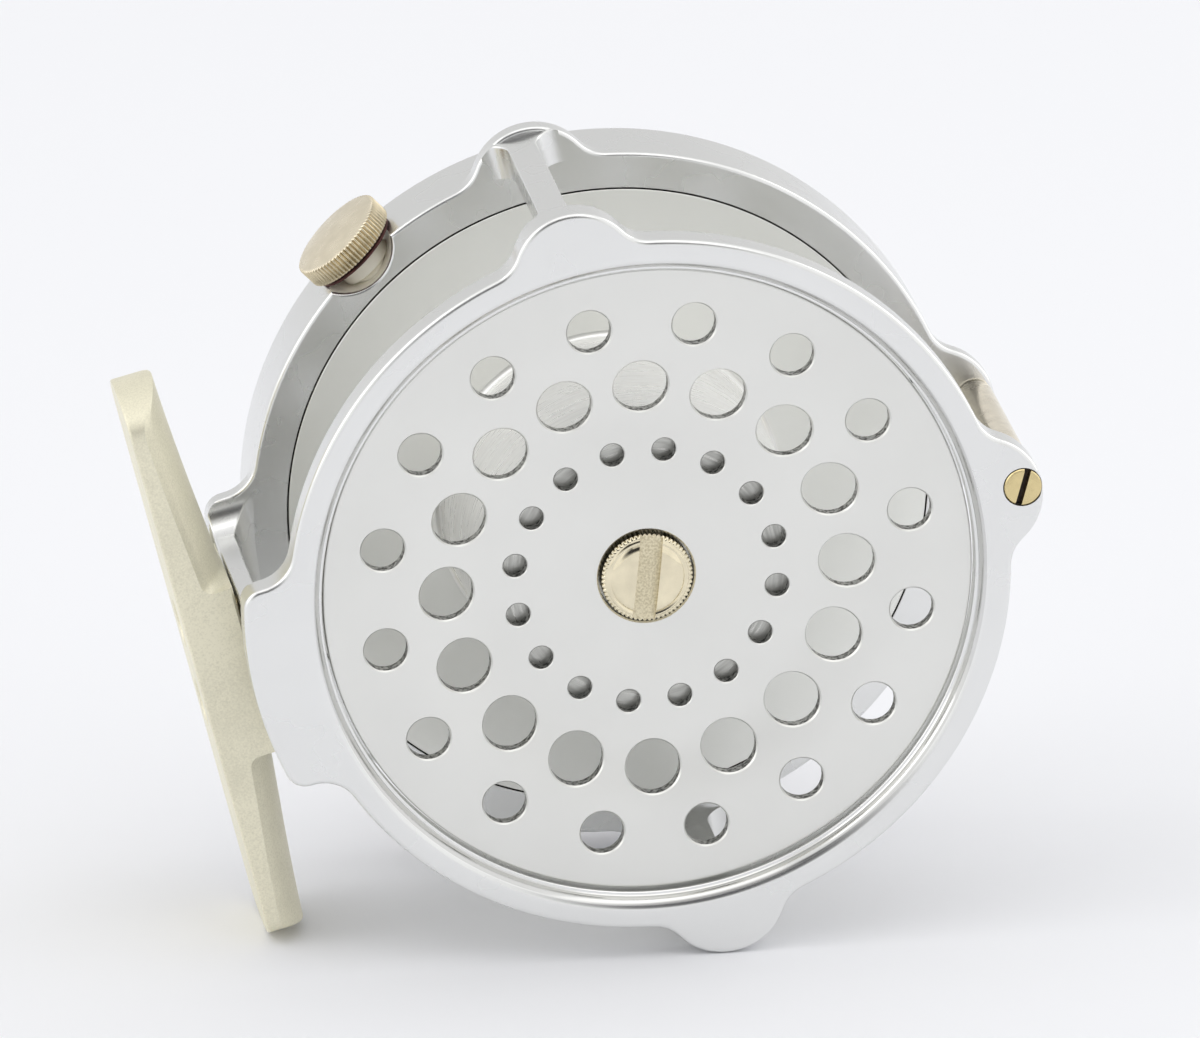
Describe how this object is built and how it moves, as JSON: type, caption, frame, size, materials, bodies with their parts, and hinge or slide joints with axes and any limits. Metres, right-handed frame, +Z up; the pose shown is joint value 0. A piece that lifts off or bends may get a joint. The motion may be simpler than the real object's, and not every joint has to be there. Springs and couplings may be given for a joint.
{
  "type": "fly reel",
  "caption": "Narrow fly reel with a perforated drum in a one-piece raised-pillar frame, line roller, rim regulator knob, click check and rod foot.",
  "frame": {"origin": "centre of the bounding box's bottom: on the ground, where the reel stands on its lower lobes and the lower toe of its foot", "axes": "+Z up as the reel stands, +Y along the drum's axis from the perforated side to the handle side, +X away from the foot"},
  "size_m": [0.0956, 0.0594, 0.0828],
  "materials": {
    "frame_silver": "satin silver, machined and lightly brushed, bright broken edges",
    "drum_silver": "even satin silver",
    "foot_champagne": "bead-blasted champagne",
    "knob_nickel": "satin nickel silver, knurled side",
    "cap_gold": "polished pale gold",
    "brass_gold": "turned brass",
    "roller_nickel": "polished nickel silver",
    "washer_red": "dark red fibre",
    "grip_wood": "oiled dark hardwood",
    "steel_bright": "bright steel"
  },
  "bodies": {
    "frame": {"frame_cage": "frame_silver", "reel_foot": "foot_champagne", "foot_screw_upper": "brass_gold", "foot_screw_lower": "brass_gold", "roller_screw": "brass_gold", "near_bearing_outer_race": "steel_bright", "far_bearing_outer_race": "steel_bright", "pawl_pin": "steel_bright", "pawl_spring": "steel_bright", "regulator_bush": "knob_nickel"},
    "drum": {"drum": "drum_silver", "drum_cap": "cap_gold", "spindle": "steel_bright", "near_bearing_inner_race": "steel_bright", "far_bearing_inner_race": "steel_bright", "ratchet_wheel": "steel_bright", "handle_plate": "drum_silver", "handle_plate_screw": "brass_gold", "counterweight": "brass_gold", "handle_pin": "steel_bright", "handle_screw": "brass_gold"},
    "handle": {"handle_grip": "grip_wood"},
    "roller": {"roller_pillar": "roller_nickel"},
    "regulator": {"regulator_knob": "knob_nickel", "regulator_stem": "steel_bright", "regulator_washer": "washer_red"},
    "slider": {"tension_slider": "brass_gold"},
    "pawl": {"pawl": "steel_bright"},
    "near_ball_set": {"near_bearing_ball_1": "steel_bright", "near_bearing_ball_2": "steel_bright", "near_bearing_ball_3": "steel_bright", "near_bearing_ball_4": "steel_bright", "near_bearing_ball_5": "steel_bright", "near_bearing_ball_6": "steel_bright", "near_bearing_ball_7": "steel_bright", "near_bearing_ball_8": "steel_bright", "near_bearing_ball_cage": "brass_gold"},
    "far_ball_set": {"far_bearing_ball_1": "steel_bright", "far_bearing_ball_2": "steel_bright", "far_bearing_ball_3": "steel_bright", "far_bearing_ball_4": "steel_bright", "far_bearing_ball_5": "steel_bright", "far_bearing_ball_6": "steel_bright", "far_bearing_ball_7": "steel_bright", "far_bearing_ball_8": "steel_bright", "far_bearing_ball_cage": "brass_gold"}
  },
  "joints": [
    {"name": "drum_spin", "type": "hinge", "parent": "frame", "child": "drum", "pos_m": [0.0064, -0.0132, 0.04143], "axis": [0, 1, 0], "continuous": true},
    {"name": "handle_spin", "type": "hinge", "parent": "drum", "child": "handle", "pos_m": [0.0064, 0.0178, 0.01483], "axis": [0, 1, 0], "continuous": true},
    {"name": "roller_spin", "type": "hinge", "parent": "frame", "child": "roller", "pos_m": [0.0456, -0.0132, 0.05026], "axis": [0, 1, 0], "continuous": true},
    {"name": "regulator_turn", "type": "hinge", "parent": "frame", "child": "regulator", "pos_m": [-0.02, 0.0031, 0.06876], "axis": [-0.6947, 0, 0.7193], "range_deg": [0, 900]},
    {"name": "tension_slide", "type": "slide", "parent": "frame", "child": "slider", "axis": [0.6947, 0, -0.7193], "range_m": [0, 0.00175], "deforming": ["pawl_spring"]},
    {"name": "pawl_lift", "type": "hinge", "parent": "frame", "child": "pawl", "pos_m": [0.00531, 0.0031, 0.05623], "axis": [0, 1, 0], "range_deg": [0, 8], "stiffness_Nm_per_rad": 0.005, "springref_deg": -5.73, "deforming": ["pawl_spring"]},
    {"name": "near_ball_orbit", "type": "hinge", "parent": "frame", "child": "near_ball_set", "pos_m": [0.0064, -0.0126, 0.04143], "axis": [0, 1, 0], "continuous": true},
    {"name": "far_ball_orbit", "type": "hinge", "parent": "frame", "child": "far_ball_set", "pos_m": [0.0064, -0.0022, 0.04143], "axis": [0, 1, 0], "continuous": true}
  ],
  "couplings": [
    {"joint": "regulator_turn", "follows": "tension_slide", "rad_per_m": 8976},
    {"joint": "near_ball_orbit", "follows": "drum_spin", "ratio": 0.41},
    {"joint": "far_ball_orbit", "follows": "drum_spin", "ratio": 0.41}
  ]
}
